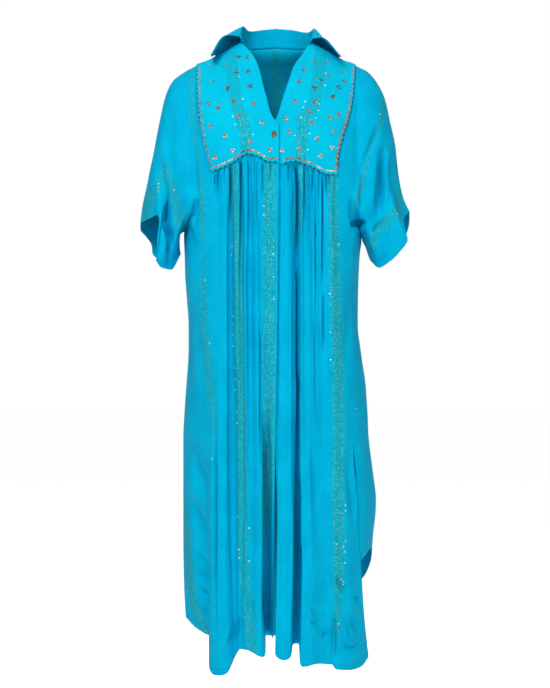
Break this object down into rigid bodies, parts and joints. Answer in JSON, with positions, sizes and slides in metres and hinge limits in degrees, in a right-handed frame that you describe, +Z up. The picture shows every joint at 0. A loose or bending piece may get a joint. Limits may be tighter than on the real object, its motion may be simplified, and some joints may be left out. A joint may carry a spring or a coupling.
{
  "type": "kaftan",
  "caption": "Long loose kaftan with a spread collar, V neck, gathered front, short kimono sleeves and side slits, hollow as worn.",
  "frame": {"origin": "midway between the shoulders at the base of the neck, where the wearer carries the garment", "axes": "+Z up along the body, -Y out of the front, +X to the viewer's right"},
  "size_m": [0.5539, 0.2858, 1.3133],
  "materials": {
    "crepe": "light woven viscose crepe, soft sheen",
    "button": "polished brown, low dome"
  },
  "bodies": {
    "root": {"front_left": "crepe", "front_right": "crepe", "back": "crepe", "bib_left": "crepe", "bib_right": "crepe", "collar": "crepe", "button": "button"}
  },
  "joints": []
}
